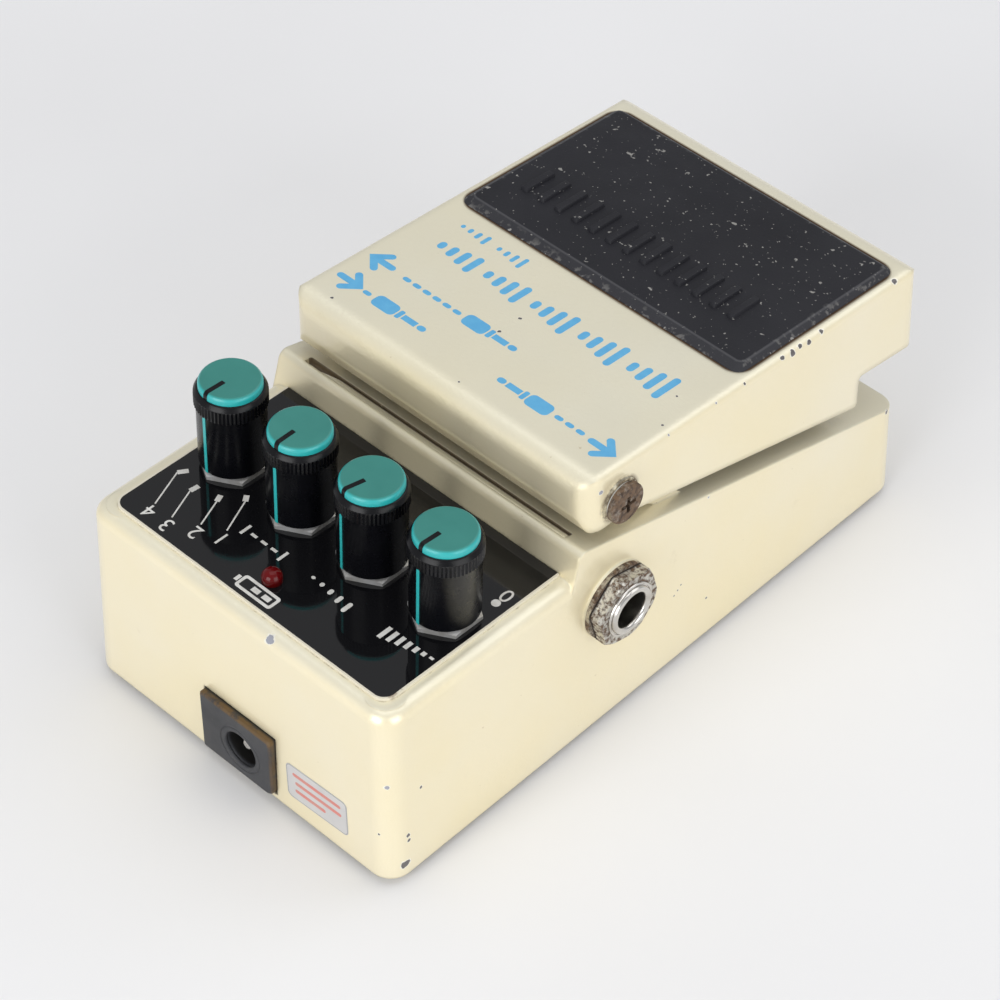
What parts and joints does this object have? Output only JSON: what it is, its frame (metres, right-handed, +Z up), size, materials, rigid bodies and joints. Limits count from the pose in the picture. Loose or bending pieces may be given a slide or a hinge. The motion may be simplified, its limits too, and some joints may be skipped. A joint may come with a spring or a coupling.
{
  "type": "delay pedal",
  "caption": "Compact foot pedal with a hinged treadle, turning knobs on a raised panel, side jacks and a power socket.",
  "frame": {"origin": "middle of the rubber base's underside", "axes": "+X to the player's right, +Y from the toe end to the knob end, +Z up"},
  "size_m": [0.0778, 0.1322, 0.0572],
  "materials": {
    "paint": "cream pearl paint over an aluminium die casting",
    "base_rubber": "matt black rubber sheet",
    "pad_rubber": "worn charcoal rubber",
    "plate_steel": "plated sheet steel",
    "zinc": "zinc plated steel, spotted with rust",
    "panel_black": "gloss black enamel",
    "lamp_red": "dark red lens",
    "knob_black": "gloss black plastic",
    "cap_teal": "satin teal plastic",
    "shaft_metal": "turned aluminium",
    "pot_steel": "plated steel shell",
    "socket_plastic": "moulded black plastic",
    "jack_chrome": "nickel plated brass",
    "spring_steel": "spring steel wire and strip",
    "board_green": "printed circuit board",
    "chip_black": "moulded black casing",
    "brass": "turned brass",
    "sheet_fibre": "insulating fibre sheet",
    "battery_case": "plain wrapped steel case",
    "lead_pvc": "insulated wire",
    "white_plastic": "white acetal"
  },
  "bodies": {
    "housing": {"battery": "battery_case", "battery_leads": "lead_pvc", "battery_snap": "chip_black", "board_parts": "chip_black", "board_screws": "zinc", "board_standoffs": "brass", "bottom_plate": "plate_steel", "bottom_screws": "zinc", "check_lamp": "lamp_red", "control_board": "board_green", "control_nuts": "zinc", "control_panel": "panel_black", "control_washers": "zinc", "direct_jack_body": "socket_plastic", "direct_jack_sleeve": "jack_chrome", "feedback_pot_body": "pot_steel", "foot_switch_body": "socket_plastic", "guide_bush": "white_plastic", "housing": "paint", "input_jack_body": "socket_plastic", "input_jack_sleeve": "jack_chrome", "insulating_sheet": "sheet_fibre", "jack_nuts": "zinc", "jack_tip_springs": "spring_steel", "jack_washers": "zinc", "lead_connector": "socket_plastic", "level_pot_body": "pot_steel", "main_board": "board_green", "mode_switch_body": "pot_steel", "output_jack_body": "socket_plastic", "output_jack_sleeve": "jack_chrome", "pivot_screws": "zinc", "power_socket": "socket_plastic", "power_socket_pin": "jack_chrome", "return_spring": "spring_steel", "rubber_base": "base_rubber", "time_pot_body": "pot_steel"},
    "treadle": {"treadle": "paint", "foot_pad": "pad_rubber", "pivot_bushes": "white_plastic", "lock_insert": "brass"},
    "thumbscrew": {"thumbscrew": "zinc"},
    "switch_plunger": {"switch_plunger": "white_plastic"},
    "mode_knob": {"mode_knob": "knob_black", "mode_knob_cap": "cap_teal", "mode_shaft": "shaft_metal"},
    "time_knob": {"time_knob": "knob_black", "time_knob_cap": "cap_teal", "time_shaft": "shaft_metal"},
    "feedback_knob": {"feedback_knob": "knob_black", "feedback_knob_cap": "cap_teal", "feedback_shaft": "shaft_metal"},
    "level_knob": {"level_knob": "knob_black", "level_knob_cap": "cap_teal", "level_shaft": "shaft_metal"}
  },
  "joints": [
    {"name": "treadle_hinge", "type": "hinge", "parent": "housing", "child": "treadle", "pos_m": [0, 0.00918, 0.04862], "axis": [1, 0, 0], "range_deg": [-60, 1], "stiffness_Nm_per_rad": 0.5},
    {"name": "thumbscrew_travel", "type": "slide", "parent": "treadle", "child": "thumbscrew", "axis": [0, 1, 0], "range_m": [0, 0.005]},
    {"name": "plunger_travel", "type": "slide", "parent": "housing", "child": "switch_plunger", "axis": [0, 0, 1], "range_m": [-0.0007, 0], "stiffness_N_per_m": 100},
    {"name": "mode_turn", "type": "hinge", "parent": "housing", "child": "mode_knob", "pos_m": [0.02409, 0.03899, 0.03874], "axis": [0, -0.0315, 0.9995], "range_deg": [-30, 60]},
    {"name": "time_turn", "type": "hinge", "parent": "housing", "child": "time_knob", "pos_m": [0.00803, 0.03899, 0.03874], "axis": [0, -0.0315, 0.9995], "range_deg": [-150, 150]},
    {"name": "feedback_turn", "type": "hinge", "parent": "housing", "child": "feedback_knob", "pos_m": [-0.00803, 0.03899, 0.03874], "axis": [0, -0.0315, 0.9995], "range_deg": [-137, 163]},
    {"name": "level_turn", "type": "hinge", "parent": "housing", "child": "level_knob", "pos_m": [-0.02409, 0.03899, 0.03874], "axis": [0, -0.0315, 0.9995], "range_deg": [-147, 153]}
  ]
}
